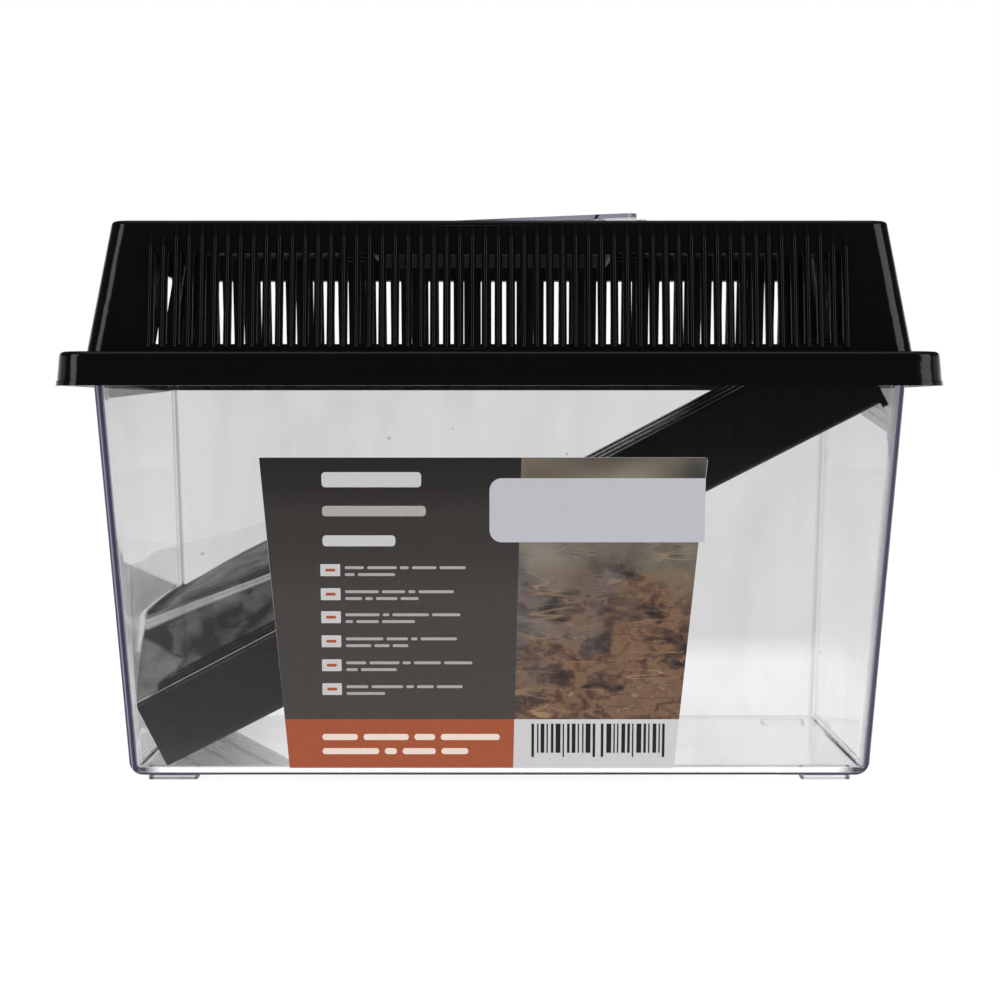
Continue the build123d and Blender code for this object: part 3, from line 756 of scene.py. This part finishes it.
def bag_fields(x, y, z, v, on_wall_part):
    """How dark the film is with painted shade, and how milky, at a point."""
    t = v * 9.0
    n1 = noise.noise(Vector((x * 0.035, y * 0.02, z * 0.10)) + Vector((4.4, 1.2, 7.7)))
    n2 = noise.noise(Vector((x * 0.11, y * 0.03, z * 0.16)) + Vector((0.4, 8.2, 2.7)))
    n3 = noise.noise(Vector((x * 0.30, y * 0.10, z * 0.30)) + Vector((6.4, 3.2, 1.7)))
    right = smooth(-125.0, -90.0, x)
    haze_and_sheen = 0.012
    # painted shade: faint on the flat leaf standing against the back wall, deep on the pillow's slanting top
    darkening = 0.07 + 0.04 * n1
    darkening += 0.12 * math.exp(-((t - 0.0) / 0.05) ** 2)
    edge = 2.0 + 0.06 * n2
    lens = smooth(edge - 0.05, edge + 0.10, t)
    deep = 0.93 + 0.03 * math.exp(-((t - 2.15) / 0.25) ** 2) - 0.015 * (1 - right) + 0.05 * n1 + 0.02 * n2
    if x < -131.0:
        deep *= 0.93
    darkening += (deep - darkening) * lens
    # sealed band, dark with painted shade, and milky
    band = smooth(4.93, 5.02, t) * (1 - smooth(5.93, 6.02, t))
    darkening += (0.93 + 0.045 * right - darkening) * band
    haze_and_sheen += (0.225 - 0.155 * right) * band
    # film hanging from the band down to the tubes, dark with painted shade
    below = smooth(5.96, 6.04, t)
    darkening += (0.93 + 0.045 * smooth(6.0, 7.6, t) + 0.012 * n1 - darkening) * below
    haze_and_sheen += below * (1 - smooth(6.2, 7.4, t)) * max(0.0, 0.028 * (1 - right) + 0.016 + 0.012 * n2) - 0.010 * below
    # crumpled lower corner
    line = 46.4 - 0.34 * (x + 127.0) + 0.7 * n2
    reach = along(z, ((28.0, -120.8), (30.5, -120.6), (33.2, -120.8), (35.5, -118.4), (37.2, -116.8), (40.0, -113.6), (42.5, -112.4), (60.0, -112.4)))
    reach += 0.8 * n3
    crumple = smooth(line + 0.5, line - 0.9, z) * smooth(reach + 0.5, reach - 0.7, x) * smooth(-30.0, -34.0, y)
    haze_and_sheen += (0.46 + 0.13 * n2 + 0.10 * n3 - 0.10 * smooth(-127.0, -131.0, x) - haze_and_sheen) * crumple
    brown = smooth(line + 1.6, line, z) * smooth(line - 5.0, line - 1.2, z) * smooth(-106.0, -114.0, x) * smooth(-30.0, -34.0, y)
    haze_and_sheen += 0.05 * brown * (1 - crumple)
    return darkening, haze_and_sheen


def build_bag():
    nu, nv = 130, 230
    x_wall, x_end = -129.6, -36.0
    rise = 26.0
    total = rise + (x_end - x_wall)
    verts, darkening_values, haze_and_sheen_values = [], [], []
    for i in range(nu + 1):
        s = total * i / nu - rise
        for j in range(nv + 1):
            v = j / nv
            if s < 0:
                y, z0 = catmull(bag_profile(x_wall), v)
                top = 75.2 + 0.6 * math.sin(y * 0.07)
                k = (-s / rise) ** 1.15
                z = z0 + (max(top, z0) - z0) * k
                if y < -52.0:   # the front corner leaves the wall low down
                    z = z0 + (z - z0) * (1 - 0.97 * smooth(-52.0, -58.5, y))
                x = -wall_in_x(z) + 0.8 + 0.5 * math.exp(-((z - z0) / 1.2) ** 2)
            else:
                # the pillow starts at the wall, which leans
                y, z = catmull(bag_profile(x_wall), v)
                lean = (-wall_in_x(z) + 1.3 - x_wall) * math.exp(-s / 9.0)
                x = x_wall + s + lean
                y, z = catmull(bag_profile(x), v)
            p = Vector((x, y, z))
            big = noise.noise(Vector((x * 0.040, y * 0.030, z * 0.040)) + Vector((3.1, 7.7, 1.3)))
            mid = noise.noise(Vector((x * 0.12, y * 0.05, z * 0.12)) + Vector((9.1, 2.2, 5.5)))
            t = v * 9.0
            amp = 0.35 * smooth(0.0, 1.0, t) + 0.55 * smooth(6.2, 7.4, t)
            if abs(t - 5.5) < 0.9:
                amp *= 0.35
            if s >= 0:
                p += Vector((0.0, 0.5 * mid * amp, amp * (0.9 * big + 0.5 * mid)))
            else:
                p += Vector((0.5 * amp * abs(mid), 0.0, 0.0))
            p.y = min(p.y, wall_in_y(p.z) - 0.5)
            p.x = max(p.x, -wall_in_x(p.z) + 0.5)
            if p.y > -60.8:
                p.z = max(p.z, tube_top(p.x) + 0.75)
            verts.append(p * MM)
            a, b = bag_fields(p.x, p.y, p.z, v, s < 0)
            # painted shade is deeper where the fold at the side wall is two leaves thick
            if 1.95 < t < 4.9 or t > 6.05:   # the fold at the side wall is two leaves thick
                a *= 1.0 + 0.7 * math.exp(-((s - 1.0) / 4.0) ** 2)
            if s < 0:
                k = smooth(-0.02, 0.16, -s / rise)
                if t > 1.9:
                    # above the fold the film lies flat on the side wall, with faint painted shade, deeper low down at
                    # the front
                    flat = 0.06 + 0.08 * smooth(-35.0, -62.0, y) + 0.10 * smooth(66.0, 54.0, p.z) * smooth(12.0, -32.0, y)
                    flat += 0.07 * noise.noise(Vector((x * 0.02, y * 0.16, p.z * 0.03)) + Vector((2.0, 2.0, 9.0)))
                    a += (flat - a) * k
                    low = smooth(52.0, 44.0, p.z) * smooth(-40.0, -50.0, y)
                    a += (0.55 - a) * low * k
                    # a milky patch, and a painted glint on a small fold
                    patch = smooth(57.0, 53.5, p.z) * smooth(-26.0, -31.0, y)
                    painted_fold_glint = math.exp(-(((y + 49.0) / 2.0) ** 2) - ((p.z - 60.0 - 0.6 * (y + 49.0)) / 3.2) ** 2)
                    b += (0.015 + 0.20 * patch + 0.40 * painted_fold_glint - b) * k
            darkening_values.append(max(0.0, min(1.7 if abs(s) < 10.0 else 0.985, a)))
            haze_and_sheen_values.append(max(0.0, min(0.85, b)))
    faces = []
    for i in range(nu):
        for j in range(nv):
            a = i * (nv + 1) + j
            faces.append((a, a + 1, a + nv + 2, a + nv + 1))
    o = mesh_object("clear_bag", verts, faces, [film_material()], smooth=True)
    for name, values in (("darkening", darkening_values), ("haze_and_sheen", haze_and_sheen_values)):
        o.data.attributes.new(name, "FLOAT", "POINT").data.foreach_set("value", values)
    o.visible_shadow = False
    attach(o, "polybag")
    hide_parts("polybag")
    print("bag area m2", round(sum(p.area for p in o.data.polygons), 5))
    return o


bag = build_bag()


# ------------------------------------------------------------------ stage
def floor():
    m, nt, out = material("floor")
    c = coords(nt)
    length = nt.nodes.new("ShaderNodeVectorMath")
    length.operation = "LENGTH"
    link(nt, c, length.inputs[0])
    r = length.outputs["Value"]
    sep = nt.nodes.new("ShaderNodeSeparateXYZ")
    link(nt, c, sep.inputs[0])
    lp = nt.nodes.new("ShaderNodeLightPath")
    # a lit white sweep: it glows, and the box leaves a soft contact shadow on the rest
    p = nt.nodes.new("ShaderNodeBsdfDiffuse")
    soft = noise_tex(nt, c, 6.0, 2.0)
    link(nt, mix_color(nt, soft, (0.24, 0.24, 0.24), (0.26, 0.26, 0.26)), p.inputs["Color"])
    glow = nt.nodes.new("ShaderNodeEmission")
    glow.inputs["Color"].default_value = (1, 1, 1, 1)
    # seen through the tank's walls, the far sweep is the same grey as the wall behind it
    p_lit = nt.nodes.new("ShaderNodeAddShader")
    link(nt, p.outputs[0], p_lit.inputs[0])
    link(nt, glow.outputs[0], p_lit.inputs[1])
    glow.inputs["Strength"].default_value = GLOW
    grey = nt.nodes.new("ShaderNodeEmission")
    grey.inputs["Color"].default_value = (1, 1, 1, 1)
    grey.inputs["Strength"].default_value = SEEN
    mirrored = math_node(nt, "GREATER_THAN", lp.outputs["Glossy Depth"], 0.5)
    through = math_node(nt, "GREATER_THAN", lp.outputs["Transmission Depth"], 1.5)
    through = math_node(nt, "MULTIPLY", through, math_node(nt, "SUBTRACT", 1.0, mirrored))
    far = remap(nt, sep.outputs["Y"], 0.30, 0.43, 0.0, 1.0)
    lit = nt.nodes.new("ShaderNodeMixShader")
    link(nt, math_node(nt, "MULTIPLY", through, far), lit.inputs[0])
    link(nt, p_lit.outputs[0], lit.inputs[1])
    link(nt, grey.outputs[0], lit.inputs[2])
    # the table in front of the box, as glossy faces mirror it: it darkens away from the box
    dark = nt.nodes.new("ShaderNodeEmission")
    dark.inputs["Color"].default_value = (1, 1, 1, 1)
    front = math_node(nt, "MULTIPLY", sep.outputs["Y"], -1.0)
    link(nt, remap(nt, front, 0.10, 0.42, 0.37, 0.03), dark.inputs["Strength"])
    ahead = remap(nt, front, 0.02, 0.10, 0.0, 1.0)
    mixer = nt.nodes.new("ShaderNodeMixShader")
    link(nt, math_node(nt, "MULTIPLY", mirrored, ahead), mixer.inputs[0])
    link(nt, lit.outputs[0], mixer.inputs[1])
    link(nt, dark.outputs[0], mixer.inputs[2])
    link(nt, mixer.outputs[0], out.inputs["Surface"])
    R = 12.0
    o = mesh_object("floor", [(-R, -R, 0), (R, -R, 0), (R, R, 0), (-R, R, 0)], [(0, 1, 2, 3)], [m])
    o.location = (0, 0, -0.0002)
    return o


GLOW, SEEN = 0.90, 0.86
floor()

w = bpy.data.worlds.new("studio")
scene.world = w
w.use_nodes = True
nt = w.node_tree
nt.nodes.clear()
out = nt.nodes.new("ShaderNodeOutputWorld")
tc = nt.nodes.new("ShaderNodeTexCoord")
sep = nt.nodes.new("ShaderNodeSeparateXYZ")
nt.links.new(tc.outputs["Generated"], sep.inputs[0])


def sky(points):
    """Grey by elevation in degrees."""
    ramp = nt.nodes.new("ShaderNodeValToRGB")
    mp = nt.nodes.new("ShaderNodeMapRange")
    mp.inputs["From Min"].default_value = -1.0
    mp.inputs["From Max"].default_value = 1.0
    nt.links.new(sep.outputs["Z"], mp.inputs["Value"])
    nt.links.new(mp.outputs["Result"], ramp.inputs["Fac"])
    cr = ramp.color_ramp
    for i, (elev, v) in enumerate(points):
        q = (math.sin(math.radians(elev)) + 1) / 2
        el = cr.elements[i] if i < 2 else cr.elements.new(q)
        el.position = q
        el.color = (v, v, v * 1.01, 1)
    return ramp.outputs["Color"]


white = sky([(-90.0, 1.0), (90.0, 1.0)])
seen_through = sky([(-90.0, SEEN), (90.0, SEEN)])
fill = sky([(-90.0, 0.40), (90.0, 0.40)])
behind = sky([(-90.0, 1.0), (90.0, 0.6), (9.0, 1.0), (13.0, 0.06), (48.0, 0.05), (66.0, 0.14)])
front = sky([(-90.0, 0.03), (90.0, 0.6), (48.0, 0.03), (66.0, 0.14)])
# glossy faces mirror a darker room in front of the box, and a low white sweep behind it
lp = nt.nodes.new("ShaderNodeLightPath")
ahead = remap(nt, sep.outputs["Y"], 0.05, -0.10, 0.0, 1.0)
mirror = mix_color(nt, ahead, behind, front)
# and it is darker to both sides
side = remap(nt, math_node(nt, "ABSOLUTE", sep.outputs["X"]), 0.55, 0.95, 0.0, 0.7)
mirror = mix_color(nt, side, mirror, (0.03, 0.03, 0.03))
through = math_node(nt, "GREATER_THAN", lp.outputs["Transmission Depth"], 1.5)
plain = mix_color(nt, through, white, seen_through)
plain = mix_color(nt, math_node(nt, "GREATER_THAN", lp.outputs["Diffuse Depth"], 0.5), plain, fill)
both = mix_color(nt, math_node(nt, "GREATER_THAN", lp.outputs["Glossy Depth"], 0.5), plain, mirror)
bg = nt.nodes.new("ShaderNodeBackground")
nt.links.new(both, bg.inputs["Color"])
bg.inputs["Strength"].default_value = 1.0
nt.links.new(bg.outputs[0], out.inputs["Surface"])


def area(name, loc, target, sx, sy, power, color=(1, 1, 1)):
    d = bpy.data.lights.new(name, "AREA")
    d.shape = "RECTANGLE"
    d.size, d.size_y = sx, sy
    d.energy = power
    d.color = color
    o = bpy.data.objects.new(name, d)
    o.location = loc
    v = Vector(target) - Vector(loc)
    o.rotation_euler = v.to_track_quat("-Z", "Y").to_euler()
    scene.collection.objects.link(o)
    return o


top = area("top_softbox", (0, 0.10, 1.5), (0, 0, 0), 1.7, 1.5, 14.0)
top.visible_glossy = False
area("left_softbox", (-1.05, -0.85, 0.55), (0, 0, 0.1), 0.5, 0.9, 2.5, (0.95, 0.96, 1.0))
area("right_softbox", (1.10, -0.75, 0.55), (0, 0, 0.1), 0.9, 0.9, 4.0, (0.86, 0.92, 1.0))

# long light paths inside the clear walls
scene.cycles.max_bounces = 24
scene.cycles.glossy_bounces = 16
scene.cycles.transmission_bounces = 24
scene.cycles.transparent_max_bounces = 24
